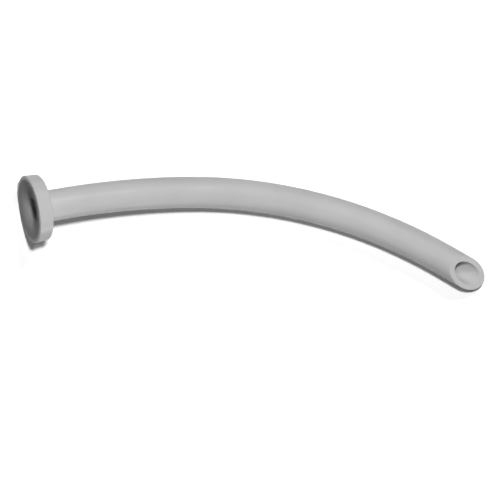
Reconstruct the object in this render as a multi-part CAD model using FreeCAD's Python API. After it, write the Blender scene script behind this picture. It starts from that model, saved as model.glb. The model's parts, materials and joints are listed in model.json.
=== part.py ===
import FreeCAD, Part
import math
import os

# Nasopharyngeal airway: one soft moulding with a round flange, a curved tube and a bevelled tip.
# It is shaped along its own centreline first: the flange's front plane is x = 0, the neck runs
# along +X, the tube bends towards -Y, and the bevel opens towards +Z but for a small turn. Then
# it is laid down as it comes to rest on a table. Lengths are in millimetres and angles in degrees.

# Tube
bore_diameter = 7.0
wall_thickness = 2.0
neck_length = 10.0          # straight stretch, from the flange's front plane
upper_bend_radius = 296.0   # of the centreline, where the tube leaves the neck
upper_bend_length = 49.0
lower_bend_radius = 184.5   # of the centreline, from there to the straight end
lower_bend_length = 97.5
end_length = 17.5           # straight stretch that ends in the tip

# Tip
bevel_angle = 34.0          # between the bevel plane and the tube
bevel_turn = 12.0           # of the way it opens, from +Z towards the inside of the bend
outer_tip_rounding = 0.5
inner_tip_rounding = 0.4

# Flange
flange_diameter = 24.0      # at the front, where it is widest
flange_thickness = 5.3
flange_draft = 4.5          # taper of the rim towards the back
front_rounding = 0.4
back_rounding = 1.0
root_fillet = 0.6
land_width = 1.1            # flat ring round the dished face, inside the front rounding
dish_depth = 2.0            # how deep the dish is where it meets the bore
lip_rounding = 2.0

# Search for the resting pose
steepest_tilt = 30.0
finest_tilt = 0.001
station_spacing = 1.0       # along the tube's underside

bore_radius = bore_diameter / 2
tube_radius = bore_radius + wall_thickness
flange_radius = flange_diameter / 2
flange_back_radius = flange_radius - flange_thickness * math.tan(math.radians(flange_draft))

X_AXIS = FreeCAD.Vector(1, 0, 0)
Y_AXIS = FreeCAD.Vector(0, 1, 0)
Z_AXIS = FreeCAD.Vector(0, 0, 1)


class Station:
    """A point of the centreline, with the way the tube heads there, in degrees below +X."""

    def __init__(self, point, heading):
        self.point = point
        self.heading = heading

    def forward(self):
        """Unit vector along the tube, away from the flange."""
        angle = math.radians(self.heading)
        return FreeCAD.Vector(math.cos(angle), -math.sin(angle), 0)

    def inward(self):
        """Unit vector across the tube, towards the centre of the bend."""
        angle = math.radians(self.heading)
        return FreeCAD.Vector(-math.sin(angle), -math.cos(angle), 0)


class Bend:
    """A stretch of centreline that turns towards -Y at one radius."""

    def __init__(self, start, radius, length):
        self.start = start
        self.radius = radius
        self.length = length
        self.centre = start.point + start.inward() * radius

    def at(self, distance):
        """The station that lies this far along the bend."""
        heading = self.start.heading + math.degrees(distance / self.radius)
        outward = Station(self.centre, heading).inward() * -self.radius
        return Station(self.centre + outward, heading)

    def bar(self, bar_radius):
        """Round bar that follows the bend."""
        circle = Part.makeCircle(bar_radius, self.start.point, self.start.forward())
        turn = math.degrees(self.length / self.radius)
        return Part.Face(Part.Wire(circle)).revolve(self.centre, -Z_AXIS, turn)


neck_end = Station(X_AXIS * neck_length, 0.0)
upper_bend = Bend(neck_end, upper_bend_radius, upper_bend_length)
lower_bend = Bend(upper_bend.at(upper_bend_length), lower_bend_radius, lower_bend_length)
bend_end = lower_bend.at(lower_bend_length)
tip = Station(bend_end.point + bend_end.forward() * end_length, bend_end.heading)


def turned(outline):
    """Solid made by turning a closed half section, drawn in x and y, about the X axis."""
    return Part.Face(Part.Wire(outline)).revolve(FreeCAD.Vector(), X_AXIS, 360)


def lines(corners):
    """Straight edges from each corner to the next, given as x and radius."""
    points = [FreeCAD.Vector(x, radius, 0) for x, radius in corners]
    return [Part.makeLine(a, b) for a, b in zip(points, points[1:])]


def ring_edges(solid, x, radius):
    """Circular edges about the X axis at the given place."""
    found = []
    for edge in solid.Edges:
        circle = edge.Curve
        if not isinstance(circle, Part.Circle):
            continue
        if abs(circle.Radius - radius) < 1e-6 and abs(circle.Center.x - x) < 1e-6:
            found.append(edge)
    return found


def flanged_neck():
    """Flange and straight neck, with the dish in the face and the bore through them."""
    land_radius = flange_radius - front_rounding - land_width

    # The dish leaves the flat ring tangentially and steepens up to the bore, like a trumpet.
    dish_width = land_radius - bore_radius
    dish_radius = (dish_width ** 2 + dish_depth ** 2) / (2 * dish_depth)
    half_slope = math.asin(dish_width / dish_radius) / 2
    dish = Part.Arc(
        FreeCAD.Vector(dish_depth, bore_radius, 0),
        FreeCAD.Vector(dish_radius * (1 - math.cos(half_slope)),
                       land_radius - dish_radius * math.sin(half_slope), 0),
        FreeCAD.Vector(0, land_radius, 0),
    ).toShape()

    outline = [dish] + lines([
        (0, land_radius),
        (0, flange_radius),
        (flange_thickness, flange_back_radius),
        (flange_thickness, tube_radius),
        (neck_length, tube_radius),
        (neck_length, bore_radius),
        (dish_depth, bore_radius),
    ])
    neck = turned(outline)
    neck = neck.makeFillet(front_rounding, ring_edges(neck, 0, flange_radius))
    neck = neck.makeFillet(back_rounding, ring_edges(neck, flange_thickness, flange_back_radius))
    neck = neck.makeFillet(root_fillet, ring_edges(neck, flange_thickness, tube_radius))
    return neck.makeFillet(lip_rounding, ring_edges(neck, dish_depth, bore_radius))


def bevelled(tube):
    """Tube with its end cut on the slant and both edges of the cut rounded."""
    slant = math.radians(bevel_angle)
    turn = math.radians(bevel_turn)
    opening = Z_AXIS * math.cos(turn) + tip.inward() * math.sin(turn)
    normal = opening * math.cos(slant) + tip.forward() * math.sin(slant)
    long_point = tip.point - opening * tube_radius
    reach = 2 * tube_radius / math.sin(slant) + 2 * tube_radius
    waste = Part.makeBox(2 * reach, 2 * reach, reach, FreeCAD.Vector(-reach, -reach, 0))
    waste.Placement = FreeCAD.Placement(long_point, FreeCAD.Rotation(Z_AXIS, normal))
    tube = tube.cut(waste)
    tube = tube.makeFillet(outer_tip_rounding, slanted_wires(tube, normal)[-1].Edges)
    return tube.makeFillet(inner_tip_rounding, slanted_wires(tube, normal)[0].Edges)


def slanted_wires(tube, normal):
    """The two outlines of the bevel's flat face, the one round the bore first."""
    for face in tube.Faces:
        if isinstance(face.Surface, Part.Plane) and face.Surface.Axis.cross(normal).Length < 1e-6:
            return sorted(face.Wires, key=lambda wire: wire.Length)


def tube_bar(bar_radius):
    """Round bar that follows the tube from the neck to the tip."""
    end = Part.makeCylinder(bar_radius, end_length, bend_end.point, bend_end.forward())
    return upper_bend.bar(bar_radius).fuse([lower_bend.bar(bar_radius), end])


def airway():
    """The whole moulding, along its own centreline."""
    tube = bevelled(tube_bar(tube_radius).cut(tube_bar(bore_radius)))
    return flanged_neck().fuse(tube).removeSplitter().Solids[0]


def resting_rings():
    """Rings that the moulding can touch a table with: centre, axis, radius and rounding."""
    rings = [
        (X_AXIS * front_rounding, X_AXIS, flange_radius - front_rounding, front_rounding),
        (X_AXIS * (flange_thickness - back_rounding), X_AXIS,
         flange_back_radius - back_rounding, back_rounding),
    ]
    for bend in (upper_bend, lower_bend):
        count = math.ceil(bend.length / station_spacing)
        for index in range(1, count + 1):
            station = bend.at(bend.length * index / count)
            rings.append((station.point, station.forward(), tube_radius, 0.0))
    rings.append((tip.point, tip.forward(), tube_radius, 0.0))
    return rings


def tilted(pitch, roll):
    """Rotation that pitches the neck up by one angle and then rolls the tube by another."""
    return FreeCAD.Rotation(X_AXIS, roll) * FreeCAD.Rotation(Y_AXIS, -pitch)


def lowest(height):
    """Angle at which a height with one valley is lowest, found by thirds."""
    low, high = -steepest_tilt, steepest_tilt
    while high - low > finest_tilt:
        third = (high - low) / 3
        if height(low + third) < height(high - third):
            high = high - third
        else:
            low = low + third
    return (low + high) / 2


def resting_rotation(centre_of_mass):
    """Rotation in which the centre of mass lies as low over the table as it can."""
    rings = resting_rings()

    def height(pitch, roll):
        """Height of the centre of mass above the table at this tilt."""
        up = tilted(pitch, roll).inverted().multVec(Z_AXIS)
        reach = max(radius * up.cross(axis).Length + rounding - up.dot(centre)
                    for centre, axis, radius, rounding in rings)
        return up.dot(centre_of_mass) + reach

    def resting_pitch(roll):
        """Pitch at which the flange and the tube both touch the table."""
        return lowest(lambda pitch: height(pitch, roll))

    roll = lowest(lambda angle: height(resting_pitch(angle), angle))
    return tilted(resting_pitch(roll), roll)


def laid_down(solid):
    """The solid at rest, heading along +X, with the bottom centre of its box at the origin."""
    turn = resting_rotation(solid.CenterOfMass)
    neck = turn.multVec(X_AXIS)
    heading = math.degrees(math.atan2(neck.y, neck.x))
    turn = FreeCAD.Rotation(Z_AXIS, -heading) * turn
    solid.Placement = FreeCAD.Placement(FreeCAD.Vector(), turn)
    box = solid.optimalBoundingBox()
    solid.translate(FreeCAD.Vector(-box.Center.x, -box.Center.y, -box.ZMin))
    return solid


os.makedirs("parts", exist_ok=True)
laid_down(airway()).exportStep("parts/airway.step")
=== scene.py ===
import json
import logging
import math
from dataclasses import dataclass
from enum import Enum

import bmesh
import bpy
from mathutils import Euler, Matrix, Vector


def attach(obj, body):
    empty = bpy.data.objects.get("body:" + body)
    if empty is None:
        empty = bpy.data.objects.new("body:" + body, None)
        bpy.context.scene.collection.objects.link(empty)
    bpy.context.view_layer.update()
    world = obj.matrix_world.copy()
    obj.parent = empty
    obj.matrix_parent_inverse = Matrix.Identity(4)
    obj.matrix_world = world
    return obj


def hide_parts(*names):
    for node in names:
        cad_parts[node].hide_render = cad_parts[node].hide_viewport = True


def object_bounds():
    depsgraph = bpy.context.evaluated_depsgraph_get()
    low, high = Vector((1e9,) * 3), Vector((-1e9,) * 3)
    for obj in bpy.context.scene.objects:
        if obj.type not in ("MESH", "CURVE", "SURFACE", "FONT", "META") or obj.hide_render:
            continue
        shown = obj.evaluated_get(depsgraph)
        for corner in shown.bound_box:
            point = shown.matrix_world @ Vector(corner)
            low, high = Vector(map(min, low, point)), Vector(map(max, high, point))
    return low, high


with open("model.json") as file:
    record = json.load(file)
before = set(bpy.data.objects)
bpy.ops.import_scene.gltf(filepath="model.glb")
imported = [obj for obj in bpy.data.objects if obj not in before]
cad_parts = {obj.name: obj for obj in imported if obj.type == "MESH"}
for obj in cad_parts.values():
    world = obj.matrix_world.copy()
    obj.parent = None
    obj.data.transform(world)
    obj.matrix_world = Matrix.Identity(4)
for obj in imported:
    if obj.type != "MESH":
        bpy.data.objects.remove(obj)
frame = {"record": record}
CAD_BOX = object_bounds()

# Looks of a nasopharyngeal airway: one soft grey moulding with a dished flange, a curved tube
# and a bevelled tip, lying on a white table. Lengths are in metres and angles in radians.

MM = 0.001
X_AXIS = Vector((1.0, 0.0, 0.0))
Z_AXIS = Vector((0.0, 0.0, 1.0))

# Attribute of the vertices that says where each would be if the tube were straight along +X
UNBENT = "unbent"

# Multiplied by this, such a point keeps only its parts across the tube
ACROSS_TUBE = (0.0, 1.0, 1.0)

# Colour sockets of a Mix node, which share their names with its sockets for numbers
MIX_FIRST = 6
MIX_SECOND = 7
MIX_RESULT = 2

Colour = tuple[float, float, float, float]
Verts = list[bmesh.types.BMVert]
Edges = list[bmesh.types.BMEdge]
Geometry = list[bmesh.types.BMVert | bmesh.types.BMEdge]

log = logging.getLogger("airway")


# Helpers


def grey(value: float) -> Colour:
    """Return a neutral colour of one brightness."""
    return (value, value, value, 1.0)


def verts_in(geometry: Geometry) -> Verts:
    """Return the vertices among some geometry."""
    return [item for item in geometry if isinstance(item, bmesh.types.BMVert)]


def edges_in(geometry: Geometry) -> Edges:
    """Return the edges among some geometry."""
    return [item for item in geometry if isinstance(item, bmesh.types.BMEdge)]


def add_object(name: str, data: bpy.types.ID) -> bpy.types.Object:
    """Add an object to the scene.

    Args:
        name: Its name.
        data: Its mesh, lamp or camera.

    Returns:
        The object.
    """
    made = bpy.data.objects.new(name, data)
    bpy.context.scene.collection.objects.link(made)
    return made


def add_mesh(name: str, bm: bmesh.types.BMesh, material: bpy.types.Material) -> bpy.types.Object:
    """Add a finished mesh to the scene.

    Args:
        name: Name of the mesh and of its object.
        bm: The mesh, which is freed.
        material: What all of it is made of.

    Returns:
        The object.
    """
    mesh = bpy.data.meshes.new(name)
    bm.to_mesh(mesh)
    bm.free()
    mesh.materials.append(material)
    return add_object(name, mesh)


def looking_at(target: Vector, azimuth: float, elevation: float, distance: float,
               roll: float = 0.0) -> Matrix:
    """Place a lamp or a camera round a point.

    Args:
        target: The point that it looks at.
        azimuth: Which side of the point it stands on; 0 is -Y and 90 degrees is +X.
        elevation: How high it stands, as an angle.
        distance: How far it is from the point.
        roll: How far it is turned about its own line of sight.

    Returns:
        Its place and turn.
    """
    turn = (Euler((math.pi / 2 - elevation, 0.0, azimuth)).to_matrix()
            @ Matrix.Rotation(roll, 3, "Z"))
    return Matrix.Translation(target + turn @ Z_AXIS * distance) @ turn.to_4x4()


# Shader graphs


class Signal:
    """A value that varies over a surface. Arithmetic on a number adds Math nodes to its graph."""

    def __init__(self, graph: "ShaderGraph", socket: bpy.types.NodeSocket | None) -> None:
        """Wrap an output socket of a graph, or none for a node that has no outputs."""
        self.graph = graph
        self.socket = socket

    def _math(self, operation: str, first: object, second: object) -> "Signal":
        """Return the result of a Math node that is fed two numbers or signals."""
        return self.graph.node("Math", {"operation": operation}, {0: first, 1: second})

    def __add__(self, other: object) -> "Signal":
        """Return this plus other."""
        return self._math("ADD", self, other)

    def __radd__(self, other: object) -> "Signal":
        """Return other plus this."""
        return self._math("ADD", other, self)

    def __rsub__(self, other: object) -> "Signal":
        """Return other less this."""
        return self._math("SUBTRACT", other, self)

    def __mul__(self, other: object) -> "Signal":
        """Return this times other."""
        return self._math("MULTIPLY", self, other)


class ShaderGraph:
    """The node tree of a material or a world, built from empty."""

    def __init__(self, owner: bpy.types.Material | bpy.types.World) -> None:
        """Clear the owner's node tree.

        Args:
            owner: The material or world that the nodes belong to.
        """
        owner.use_nodes = True
        self.tree = owner.node_tree
        self.tree.nodes.clear()

    def node(self, kind: str, settings: dict[str, object], inputs: dict[int | str, object],
             output: int | str = 0) -> Signal:
        """Add one node.

        Args:
            kind: The node's type, without its ShaderNode prefix.
            settings: Properties of the node, which are set first.
            inputs: A number, colour or signal for each socket that isn't left at its default.
            output: The output socket that is wanted.

        Returns:
            That output, as a signal.
        """
        made = self.tree.nodes.new(f"ShaderNode{kind}")
        for name, value in settings.items():
            setattr(made, name, value)
        for key, value in inputs.items():
            if isinstance(value, Signal):
                self.tree.links.new(value.socket, made.inputs[key])
            else:
                made.inputs[key].default_value = value
        return Signal(self, made.outputs[output] if len(made.outputs) else None)

    def noise(self, where: Signal, scale: tuple[float, float, float], detail: float) -> Signal:
        """Return noise round 0.5, at a scale in features per metre and a detail in octaves."""
        laid_out = self.node("Mapping", {}, {"Vector": where, "Scale": scale})
        return self.node("TexNoise", {}, {"Vector": laid_out, "Scale": 1.0, "Detail": detail})

    def ramp(self, value: Signal, ends: tuple[float, float],
             results: tuple[float, float] = (0.0, 1.0)) -> Signal:
        """Carry a value from one range over to another.

        Args:
            value: The value.
            ends: The two ends of its range.
            results: What it gives at each end, and also beyond it.

        Returns:
            The result.
        """
        return self.node("MapRange", {"clamp": True}, {
            "Value": value, "From Min": ends[0], "From Max": ends[1],
            "To Min": results[0], "To Max": results[1]})

    def below(self, value: Signal, limit: float, blur: float = 0.3 * MM) -> Signal:
        """Return 1 where a length is below the limit, and fade to 0 over the blur past it."""
        return self.ramp(value, (limit, limit + blur), (1.0, 0.0))

    def looked_at(self) -> Signal:
        """Tell rays that show a surface from rays that gather its light for another.

        Returns:
            1 for rays from the camera, mirrored rays and rays through glass, and else 0.
        """
        kinds = ("Is Camera Ray", "Is Glossy Ray", "Is Transmission Ray")
        camera, glossy, through = (self.node("LightPath", {}, {}, kind) for kind in kinds)
        return camera + glossy + through


# Finishes


@dataclass(frozen=True)
class SoftVinyl:
    """Grey satin vinyl, faintly streaked along the tube and with a fine moulded grain.

    Its pattern of streaks and soft clouds shifts the shade and the roughness together: the
    lighter a place, the smoother it is.

    Attributes:
        face_depth: Depth behind the front that holds all of the dished face.
        face_radius: Radius of the dished face.
        name: Name of the material.
        shades: Darkest and lightest brightness.
        roughnesses: Lowest and highest roughness.
        face_roughness: What is added to the roughness on the dished face, which is more matt.
        streaks_per_metre: Along the straightened tube, and across it in two directions.
        clouds_per_metre: Soft blotches in a metre.
        grains_per_metre: Grains in a metre.
        streak_detail: Octaves of finer noise in the streaks.
        fine_detail: Octaves of finer noise in the clouds and the grain.
        streak_share: How much of the pattern is streaks. The rest is clouds.
        contrast_range: Values of the pattern between which shade and roughness spread.
        grain_height: Height of the grain.
        streak_height: Height of the streaks.
        specular_level: Strength of its reflections, where 0.5 is plain plastic.
        scatter_weight: Share of the light that goes inside before it comes back.
        scatter_depth: How deep that light goes.
    """

    face_depth: float
    face_radius: float
    name: str = "soft_grey_vinyl"
    shades: tuple[float, float] = (0.52, 0.57)
    roughnesses: tuple[float, float] = (0.32, 0.48)
    face_roughness: float = 0.5
    streaks_per_metre: tuple[float, float, float] = (35.0, 420.0, 420.0)
    clouds_per_metre: float = 70.0
    grains_per_metre: float = 2600.0
    streak_detail: float = 3.0
    fine_detail: float = 2.0
    streak_share: float = 0.5
    contrast_range: tuple[float, float] = (0.35, 0.65)
    grain_height: float = 0.012 * MM
    streak_height: float = 0.02 * MM
    specular_level: float = 0.25
    scatter_weight: float = 0.35
    scatter_depth: float = 1.5 * MM

    def on_face(self, graph: ShaderGraph, unbent: Signal) -> Signal:
        """Tell where the dished face is.

        Args:
            graph: The material's nodes.
            unbent: Coordinates on the straightened tube.

        Returns:
            1 on the dished face and 0 elsewhere.
        """
        across = graph.node(
            "VectorMath", {"operation": "MULTIPLY"}, {0: unbent, 1: ACROSS_TUBE})
        radius = graph.node("VectorMath", {"operation": "LENGTH"}, {0: across}, "Value")
        depth = graph.node("SeparateXYZ", {}, {0: unbent}, "X")
        return graph.below(depth, self.face_depth) * graph.below(radius, self.face_radius)

    def material(self) -> bpy.types.Material:
        """Make the finish.

        Returns:
            Its material.
        """
        material = bpy.data.materials.new(self.name)
        graph = ShaderGraph(material)
        unbent = graph.node("Attribute", {"attribute_name": UNBENT}, {}, "Vector")
        place = graph.node("TexCoord", {}, {}, "Object")
        streaks = graph.noise(unbent, self.streaks_per_metre, self.streak_detail)
        clouds = graph.noise(place, (self.clouds_per_metre,) * 3, self.fine_detail)
        grain = graph.noise(place, (self.grains_per_metre,) * 3, self.fine_detail)

        pattern = streaks * self.streak_share + clouds * (1 - self.streak_share)
        contrast = graph.ramp(pattern, self.contrast_range)
        dark, light = self.shades
        colour = graph.node(
            "Mix", {"data_type": "RGBA"},
            {0: contrast, MIX_FIRST: grey(dark), MIX_SECOND: grey(light)}, MIX_RESULT)
        smooth, rough = self.roughnesses
        satin = smooth + (1 - contrast) * (rough - smooth)
        face = self.on_face(graph, unbent)
        relief = grain * self.grain_height + streaks * self.streak_height
        normal = graph.node("Bump", {}, {"Strength": 1.0, "Distance": 1.0, "Height": relief})
        surface = graph.node("BsdfPrincipled", {}, {
            "Base Color": colour,
            "Roughness": satin + face * self.face_roughness,
            "Normal": normal,
            "Specular IOR Level": self.specular_level,
            "Subsurface Weight": self.scatter_weight,
            "Subsurface Radius": (1.0, 1.0, 1.0),
            "Subsurface Scale": self.scatter_depth,
        })
        graph.node("OutputMaterial", {}, {"Surface": surface})
        return material


@dataclass(frozen=True)
class WhiteTable:
    """Matt table top that looks white, and gives the object less light back than it shows.

    Attributes:
        name: Name of the material.
        seen: Brightness that it shows. Above 1, all that isn't in shadow comes out white.
        felt: Brightness that it gives its light back with.
    """

    name: str = "white_table"
    seen: float = 1.32
    felt: float = 0.10

    def material(self) -> bpy.types.Material:
        """Make the finish.

        Returns:
            Its material.
        """
        material = bpy.data.materials.new(self.name)
        graph = ShaderGraph(material)
        felt = graph.node("BsdfDiffuse", {}, {"Color": grey(self.felt)})
        seen = graph.node("BsdfDiffuse", {}, {"Color": grey(self.seen)})
        mixed = graph.node("MixShader", {}, {0: graph.looked_at(), 1: felt, 2: seen})
        graph.node("OutputMaterial", {}, {"Surface": mixed})
        return material


# Moulding

# It is shaped along its own centreline: the flange's front plane is x = 0, the neck runs along
# +X, the tube bends towards -Y, and the bevel opens towards +Z but for a small turn.


@dataclass(frozen=True)
class Station:
    """A point of the centreline.

    Attributes:
        point: Where it is.
        heading: Which way the tube heads there, below +X.
        distance: How far it is from the flange's front plane, along the centreline.
    """

    point: Vector
    heading: float
    distance: float

    @property
    def forward(self) -> Vector:
        """Unit vector along the tube, away from the flange."""
        return Vector((math.cos(self.heading), -math.sin(self.heading), 0.0))

    @property
    def outward(self) -> Vector:
        """Unit vector across the tube, away from the centre of the bend."""
        return Vector((math.sin(self.heading), math.cos(self.heading), 0.0))


@dataclass(frozen=True)
class Bend:
    """A stretch of centreline that turns towards -Y at one radius."""

    start: Station
    radius: float
    length: float

    @property
    def centre(self) -> Vector:
        """The point that the stretch bends about."""
        return self.start.point - self.start.outward * self.radius

    @property
    def end(self) -> Station:
        """The station where the stretch ends."""
        heading = self.start.heading + self.length / self.radius
        outward = Station(self.centre, heading, 0.0).outward
        return Station(self.centre + outward * self.radius, heading,
                       self.start.distance + self.length)

    def polar(self, point: Vector) -> tuple[float, float, float]:
        """Place a point of the tube about the bend.

        Args:
            point: The point.

        Returns:
            Its heading, its distance from the centreline, and the angle about the centreline,
            from the outside of the bend towards +Z.
        """
        arm = point - self.centre
        heading = math.atan2(arm.x, arm.y)
        outwards = math.hypot(arm.x, arm.y) - self.radius
        return heading, math.hypot(outwards, point.z), math.atan2(point.z, outwards)

    def sweep(self, bm: bmesh.types.BMesh, rings: Geometry, step: float) -> Geometry:
        """Carry open rings along the bend.

        Args:
            bm: The mesh.
            rings: The rings at the start.
            step: Length of one row of faces, about.

        Returns:
            Vertices and edges of the rings at the end.
        """
        made = bmesh.ops.spin(
            bm, geom=rings, cent=self.centre, axis=-Z_AXIS,
            angle=self.length / self.radius, steps=round(self.length / step))
        return made["geom_last"]


class HalfSection:
    """An open outline in x and radius, drawn stroke by stroke."""

    def __init__(self, bm: bmesh.types.BMesh, x: float, radius: float) -> None:
        """Put the pen down in a mesh, at a place along the axis and a distance from it."""
        self.bm = bm
        self.pen = bm.verts.new((x, radius, 0.0))

    def line(self, to: Vector) -> None:
        """Draw a straight stroke.

        Args:
            to: The point where it ends.
        """
        made = bmesh.ops.extrude_vert_indiv(self.bm, verts=[self.pen])
        self.pen = made["verts"][0]
        self.pen.co = to

    def arc(self, centre: Vector, turn: float, steps: int) -> None:
        """Draw a round stroke.

        Args:
            centre: Centre of the arc.
            turn: Angle to go, anticlockwise seen from +Z.
            steps: Edges in the arc.
        """
        made = bmesh.ops.spin(
            self.bm, geom=[self.pen], cent=centre, axis=Z_AXIS, angle=turn, steps=steps)
        self.pen = verts_in(made["geom_last"])[0]

    def rounded(self, corner: Vector, after: Vector, radius: float, steps: int,
                hem: float = 0.1 * MM) -> None:
        """Draw a straight stroke to a corner and round it.

        Args:
            corner: The corner, as it would be if it were sharp.
            after: The point that the outline heads for next.
            radius: Radius of the rounding.
            steps: Edges in the rounding.
            hem: Short edge on each side of it, which keeps the shading of flat faces flat.
        """
        come = (corner - self.pen.co).normalized()
        go = (after - corner).normalized()
        turn = math.atan2(come.cross(go).z, come.dot(go))
        touch = corner - come * radius * math.tan(abs(turn) / 2)
        self.line(touch - come * hem)
        self.line(touch)
        self.arc(touch + Z_AXIS.cross(come) * math.copysign(radius, turn), turn, steps)
        self.line(self.pen.co + go * hem)


@dataclass(frozen=True)
class DishedFlange:
    """Round flange with a dished face, and the straight neck behind it.

    Attributes:
        bore_radius: Radius of the bore.
        tube_radius: Radius of the neck.
        neck_length: From the flange's front plane to the neck's end.
        radius: At the front, where the flange is widest.
        thickness: From its front to its back.
        draft: Taper of its rim towards the back.
        front_rounding: Of the rim's front edge.
        back_rounding: Of the rim's back edge.
        root_fillet: Between its back and the neck.
        land_width: Of the flat ring round the dished face.
        dish_depth: How deep the dish would be where it meets the bore, if it had no lip.
        lip_rounding: Between the dish and the bore.
        rounding_steps: Edges in each rounding.
        dish_steps: Edges in the dish.
    """

    bore_radius: float
    tube_radius: float
    neck_length: float = 10.0 * MM
    radius: float = 12.0 * MM
    thickness: float = 5.3 * MM
    draft: float = math.radians(4.5)
    front_rounding: float = 0.4 * MM
    back_rounding: float = 1.0 * MM
    root_fillet: float = 0.6 * MM
    land_width: float = 1.1 * MM
    dish_depth: float = 2.0 * MM
    lip_rounding: float = 2.0 * MM
    rounding_steps: int = 7
    dish_steps: int = 16

    @property
    def land_radius(self) -> float:
        """Radius of the dished face, inside the flat ring round it."""
        return self.radius - self.front_rounding - self.land_width

    def draw_dish(self, section: HalfSection) -> None:
        """Draw the lip of the bore and the dish, up to the flat ring round the face.

        Args:
            section: The outline, with its pen in the bore.
        """
        width = self.land_radius - self.bore_radius
        dish_radius = (width ** 2 + self.dish_depth ** 2) / (2 * self.dish_depth)
        dish_centre = Vector((dish_radius, self.land_radius, 0.0))
        lip_y = self.bore_radius + self.lip_rounding
        slope = math.asin((self.land_radius - lip_y) / (dish_radius - self.lip_rounding))
        lip_x = dish_radius - (dish_radius - self.lip_rounding) * math.cos(slope)
        section.line(Vector((lip_x, self.bore_radius, 0.0)))
        section.arc(Vector((lip_x, lip_y, 0.0)), slope - math.pi / 2, self.rounding_steps)
        section.arc(dish_centre, -slope, self.dish_steps)

    def build(self, bm: bmesh.types.BMesh, segments: int) -> Edges:
        """Turn the flange and neck about the X axis.

        Args:
            bm: The mesh.
            segments: Faces round the axis.

        Returns:
            Edges of the two open rings at the neck's end.
        """
        back_radius = self.radius - self.thickness * math.tan(self.draft)
        front = Vector((0.0, self.radius, 0.0))
        back = Vector((self.thickness, back_radius, 0.0))
        root = Vector((self.thickness, self.tube_radius, 0.0))
        end = Vector((self.neck_length, self.tube_radius, 0.0))
        section = HalfSection(bm, self.neck_length, self.bore_radius)
        self.draw_dish(section)
        section.rounded(front, back, self.front_rounding, self.rounding_steps)
        section.rounded(back, root, self.back_rounding, self.rounding_steps)
        section.rounded(root, end, self.root_fillet, self.rounding_steps)
        section.line(end)
        bmesh.ops.spin(bm, geom=bm.verts[:] + bm.edges[:], cent=(0, 0, 0), axis=X_AXIS,
                       angle=2 * math.pi, steps=segments, use_merge=True)
        return [edge for edge in bm.edges if edge.is_boundary]


class Wall(Enum):
    """The two walls of the tube: which way each faces, away from the centreline or towards it."""

    OUTER = 1
    BORE = -1


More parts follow.
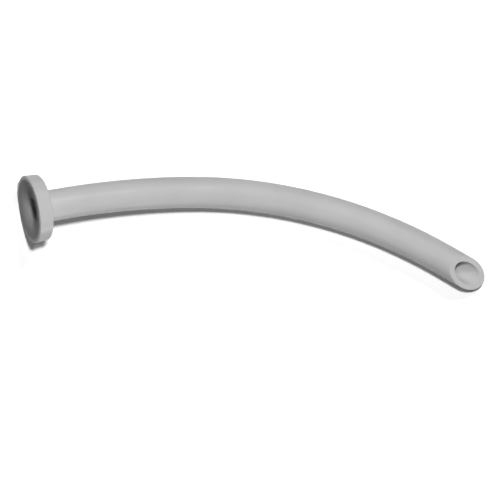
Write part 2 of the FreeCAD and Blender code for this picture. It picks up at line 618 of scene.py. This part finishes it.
@dataclass(frozen=True)
class BevelledEnd:
    """Straight end of the tube, cut on the slant, with both edges of the rim rounded.

    Each edge is the path of a ball that rolls between a wall and the bevel's flat face.

    Attributes:
        start: Where the straight stretch begins.
        bore_radius: Radius of the bore.
        tube_radius: Radius of the outer wall.
        length: From there to where the tube reaches farthest.
        angle: Between the bevel's plane and the tube.
        turn: Of the way the bevel opens, from +Z towards the inside of the bend.
        outer_rounding: Between the outer wall and the bevel's flat face.
        bore_rounding: Between the bore and the bevel's flat face.
        rounding_steps: Faces across each rounding.
    """

    start: Station
    bore_radius: float
    tube_radius: float
    length: float = 17.5 * MM
    angle: float = math.radians(34.0)
    turn: float = math.radians(12.0)
    outer_rounding: float = 0.5 * MM
    bore_rounding: float = 0.4 * MM
    rounding_steps: int = 8

    @property
    def opening(self) -> Vector:
        """The way the bevel opens, square to the tube."""
        return Z_AXIS * math.cos(self.turn) - self.start.outward * math.sin(self.turn)

    @property
    def normal(self) -> Vector:
        """The way the bevel's flat face looks."""
        return self.opening * math.cos(self.angle) + self.start.forward * math.sin(self.angle)

    @property
    def long_point(self) -> Vector:
        """Where the tube reaches farthest, before its edges are rounded."""
        tip = self.start.point + self.start.forward * self.length
        return tip - self.opening * self.tube_radius

    def along(self, point: Vector) -> float:
        """Return how far a point lies from the start, along the tube."""
        return (point - self.start.point).dot(self.start.forward)

    def wall_of(self, point: Vector) -> Wall:
        """Tell which wall a point of the tube lies on.

        Args:
            point: The point.

        Returns:
            The wall.
        """
        arm = point - self.start.point - self.start.forward * self.along(point)
        middle = (self.tube_radius + self.bore_radius) / 2
        return Wall.OUTER if arm.length > middle else Wall.BORE

    def rounding(self, wall: Wall) -> float:
        """Return the radius of the rounding between a wall and the flat face."""
        return self.outer_rounding if wall is Wall.OUTER else self.bore_rounding

    def ball(self, wall: Wall, place: Vector) -> Vector:
        """Find the centre of the ball that rounds the rim.

        Args:
            wall: The wall that it touches.
            place: A point of that wall, on the line along the tube where it touches.

        Returns:
            The centre.
        """
        forward = self.start.forward
        foot = place - forward * self.along(place)
        spoke = (foot - self.start.point).normalized()
        level = foot - spoke * wall.value * self.rounding(wall)
        depth = (self.long_point - level).dot(self.normal) - self.rounding(wall)
        return level + forward * depth / forward.dot(self.normal)

    def slant(self, verts: Verts) -> None:
        """Draw the rows of the stretch back, so that each line along it ends at the rim.

        Args:
            verts: The vertices of the stretch, while its end is still square.
        """
        for vert in verts:
            along = self.along(vert.co)
            last = self.along(self.ball(self.wall_of(vert.co), vert.co))
            vert.co += self.start.forward * along * (last / self.length - 1)

    def round_edge(self, bm: bmesh.types.BMesh, ring: Edges, wall: Wall) -> Edges:
        """Add the rounding between a wall and the flat face.

        Args:
            bm: The mesh.
            ring: Edges of the wall's open ring.
            wall: Which wall it is.

        Returns:
            Edges of the open ring where the flat face starts.
        """
        rows = []
        for _ in range(self.rounding_steps):
            made = bmesh.ops.extrude_edge_only(bm, edges=ring)["geom"]
            ring = edges_in(made)
            rows.append(verts_in(made))
        for count, row in enumerate(rows, 1):
            for vert in row:
                centre = self.ball(wall, vert.co)
                start = (vert.co - centre).normalized()
                aim = start.slerp(self.normal, count / self.rounding_steps)
                vert.co = centre + aim * self.rounding(wall)
        return ring

    def build(self, bm: bmesh.types.BMesh, rings: Geometry, step: float) -> None:
        """Add the straight stretch, slant its end, round both edges of the rim and close it.

        Args:
            bm: The mesh.
            rings: Vertices and edges of the two open rings that it starts from.
            step: Length of one row of faces, about.
        """
        steps = round(self.length / step)
        known = set(bm.verts)
        made = bmesh.ops.spin(
            bm, geom=rings, cent=self.start.point, axis=Z_AXIS,
            dvec=self.start.forward * self.length / steps, angle=0.0, steps=steps)
        split = {wall: [] for wall in Wall}
        for edge in edges_in(made["geom_last"]):
            split[self.wall_of(edge.verts[0].co)].append(edge)
        self.slant([vert for vert in bm.verts if vert not in known])
        flat = [edge for wall in Wall for edge in self.round_edge(bm, split[wall], wall)]
        bmesh.ops.bridge_loops(bm, edges=flat)


@dataclass(frozen=True)
class AirwayMoulding:
    """The whole airway: flange, curved tube and bevelled tip in one moulding.

    Attributes:
        bore_radius: Radius of the bore.
        wall: Thickness of the tube's wall.
        upper_bend_radius: Of the centreline, where the tube leaves the neck.
        upper_bend_length: Length of that bend.
        lower_bend_radius: Of the centreline, from there to the straight end.
        lower_bend_length: Length of that bend.
        segments: Faces round the tube.
        row_length: Length of one row of faces, about.
        weld_distance: Vertices that are nearer to each other than this become one.
    """

    bore_radius: float
    wall: float = 2.0 * MM
    upper_bend_radius: float = 296.0 * MM
    upper_bend_length: float = 49.0 * MM
    lower_bend_radius: float = 184.5 * MM
    lower_bend_length: float = 97.5 * MM
    segments: int = 144
    row_length: float = 1.6 * MM
    weld_distance: float = 0.001 * MM

    @property
    def tube_radius(self) -> float:
        """Radius of the tube's outer wall."""
        return self.bore_radius + self.wall

    @property
    def flange(self) -> DishedFlange:
        """The flange and neck that the tube starts from."""
        return DishedFlange(self.bore_radius, self.tube_radius)

    @property
    def finish(self) -> SoftVinyl:
        """What the moulding is made of."""
        face_depth = self.flange.dish_depth + self.flange.lip_rounding
        return SoftVinyl(face_depth, self.flange.land_radius)

    @property
    def upper_bend(self) -> Bend:
        """The gentle stretch next to the neck."""
        neck = self.flange.neck_length
        start = Station(X_AXIS * neck, 0.0, neck)
        return Bend(start, self.upper_bend_radius, self.upper_bend_length)

    @property
    def lower_bend(self) -> Bend:
        """The tighter stretch from there to the straight end."""
        return Bend(self.upper_bend.end, self.lower_bend_radius, self.lower_bend_length)

    @property
    def end(self) -> BevelledEnd:
        """The straight stretch with the bevelled tip."""
        return BevelledEnd(self.lower_bend.end, self.bore_radius, self.tube_radius)

    def unbent(self, point: Vector) -> Vector:
        """Straighten the tube out along +X.

        Args:
            point: A point of the moulding.

        Returns:
            Where it would be then.
        """
        start, along = self.end.start, self.end.along(point)
        if along > 0:
            outwards = (point - start.point).dot(start.outward)
            return Vector((start.distance + along, outwards, point.z))
        for bend in (self.lower_bend, self.upper_bend):
            heading, distance, around = bend.polar(point)
            if point.x > bend.start.point.x and heading > bend.start.heading:
                along = bend.start.distance + (heading - bend.start.heading) * bend.radius
                return Vector((along, distance * math.cos(around), distance * math.sin(around)))
        return point

    def build(self, name: str, seat: Matrix) -> bpy.types.Object:
        """Build the moulding as one closed mesh.

        Args:
            name: Name of the piece.
            seat: Where it lies in the frame.

        Returns:
            The piece.
        """
        bm = bmesh.new()
        rings = self.flange.build(bm, self.segments)
        rings = self.upper_bend.sweep(bm, rings, self.row_length)
        rings = self.lower_bend.sweep(bm, rings, self.row_length)
        self.end.build(bm, rings, self.row_length)
        bmesh.ops.remove_doubles(bm, verts=bm.verts, dist=self.weld_distance)
        bmesh.ops.recalc_face_normals(bm, faces=bm.faces)
        layer = bm.verts.layers.float_vector.new(UNBENT)
        for vert in bm.verts:
            vert[layer] = self.unbent(vert.co)
        for face in bm.faces:
            face.smooth = True
        bmesh.ops.transform(bm, matrix=seat, verts=bm.verts)
        return add_mesh(name, bm, self.finish.material())


def seat_from(bore: dict, face: dict) -> Matrix:
    """Find where the moulding lies.

    Args:
        bore: The record's mount for the bore, whose axis looks out of the flange.
        face: Its mount for the flat ring of the face, whose point is on the outside of the bend.

    Returns:
        The turn and shift from the moulding's own axes to the frame.
    """
    along = -Vector(bore["axis"])
    on_axis = Vector(bore["pos_m"])
    on_face = Vector(face["pos_m"])
    origin = on_axis + along * (on_face - on_axis).dot(along)
    outward = (on_face - origin).normalized()
    turn = Matrix((along, outward, along.cross(outward))).transposed()
    return Matrix.Translation(origin) @ turn.to_4x4()


# Studio


@dataclass(frozen=True)
class SoftLamp:
    """An area lamp that looks at the object.

    Attributes:
        name: Name of the lamp.
        azimuth: Which side it stands on; 0 is -Y and 90 degrees is +X.
        elevation: How high it stands above the table.
        width: Its width, level.
        height: Its other side.
        level: Light on a surface that faces it; at 1 a colour renders as it is written.
        distance: How far it stands from the object.
    """

    name: str
    azimuth: float
    elevation: float
    width: float
    height: float
    level: float
    distance: float = 1.5

    def build(self, target: Vector) -> None:
        """Hang the lamp.

        Args:
            target: The point that it is aimed at.
        """
        data = bpy.data.lights.new(self.name, "AREA")
        data.shape = "RECTANGLE"
        data.size = self.width
        data.size_y = self.height
        energy_at_level_one = (math.pi * self.distance) ** 2
        data.energy = self.level * energy_at_level_one
        lamp = add_object(self.name, data)
        lamp.matrix_world = looking_at(target, self.azimuth, self.elevation, self.distance)


@dataclass(frozen=True)
class PhotoCamera:
    """Camera at the photograph's viewing angle, far off and with a long lens.

    Attributes:
        azimuth: Which side of the target it is on; 0 is -Y and 90 degrees is +X.
        elevation: How high it looks down from.
        roll: How far it is turned about its own line of sight.
        target: The point in the middle of the picture.
        visible_width: Width of the picture at the target.
        distance: How far the camera is from the target.
    """

    azimuth: float
    elevation: float
    roll: float
    target: Vector
    visible_width: float = 175.4 * MM
    distance: float = 6.0

    def build(self) -> None:
        """Add the camera and make it the scene's."""
        data = bpy.data.cameras.new("camera")
        data.lens = data.sensor_width * self.distance / self.visible_width
        data.clip_end = 2 * self.distance
        camera = add_object("camera", data)
        camera.matrix_world = looking_at(
            self.target, self.azimuth, self.elevation, self.distance, self.roll)
        bpy.context.scene.camera = camera


@dataclass(frozen=True)
class Studio:
    """White table, soft lamps, even surroundings and the camera.

    Attributes:
        table_size: Side of the square table top.
        surroundings: Brightness of the light that comes evenly from all round.
        table: Finish of the table.
        camera: The camera.
        lamps: One lamp nearly overhead, one that draws the tube's highlight, and a low fill.
    """

    table_size: float = 3.0
    surroundings: float = 0.04
    table: WhiteTable = WhiteTable()
    camera: PhotoCamera = PhotoCamera(
        azimuth=math.radians(-111.29), elevation=math.radians(77.12), roll=math.radians(101.99),
        target=Vector((-7.25, -4.15, 29.59)) * MM)
    lamps: tuple[SoftLamp, ...] = (
        SoftLamp("key_lamp", azimuth=math.radians(200), elevation=math.radians(74),
                 width=0.14, height=0.14, level=0.68),
        SoftLamp("far_lamp", azimuth=math.radians(158), elevation=math.radians(52),
                 width=0.40, height=0.14, level=0.26),
        SoftLamp("near_fill", azimuth=math.radians(30), elevation=math.radians(5),
                 width=1.2, height=0.2, level=0.46),
    )

    def build(self, target: Vector) -> None:
        """Set everything up round the object.

        Args:
            target: The middle of the object, which the lamps look at.
        """
        self.build_table()
        self.build_surroundings()
        for lamp in self.lamps:
            lamp.build(target)
        self.camera.build()
        bpy.context.scene.view_settings.view_transform = "Standard"

    def build_table(self) -> None:
        """Lay the table top under the object."""
        bm = bmesh.new()
        bmesh.ops.create_grid(bm, x_segments=1, y_segments=1, size=self.table_size / 2)
        add_mesh("table", bm, self.table.material())

    def build_surroundings(self) -> None:
        """Fill the room with dim even light that looks white."""
        world = bpy.data.worlds.new("surroundings")
        bpy.context.scene.world = world
        graph = ShaderGraph(world)
        dim = graph.node("Background", {}, {"Color": grey(1.0), "Strength": self.surroundings})
        white = graph.node("Background", {}, {"Color": grey(1.0), "Strength": 1.0})
        mixed = graph.node("MixShader", {}, {0: graph.looked_at(), 1: dim, 2: white})
        graph.node("OutputWorld", {}, {"Surface": mixed})


def main() -> None:
    """Build the airway and the studio, and report each piece."""
    logging.basicConfig(level=logging.INFO, format="%(message)s")
    mounts = {mount["name"]: mount for mount in frame["record"]["mounts"]}
    bore, face = mounts["bore"], mounts["flange_front"]
    moulding = AirwayMoulding(bore["dims"]["r_mm"] * MM)
    piece = moulding.build("airway_moulding", seat_from(bore, face))
    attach(piece, "root")
    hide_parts("airway")
    log.info("%s: %d faces", piece.name, len(piece.data.polygons))

    Studio().build((CAD_BOX[0] + CAD_BOX[1]) / 2)
    log.info("studio: table, lamps and camera")


if __name__ == "__main__":
    main()
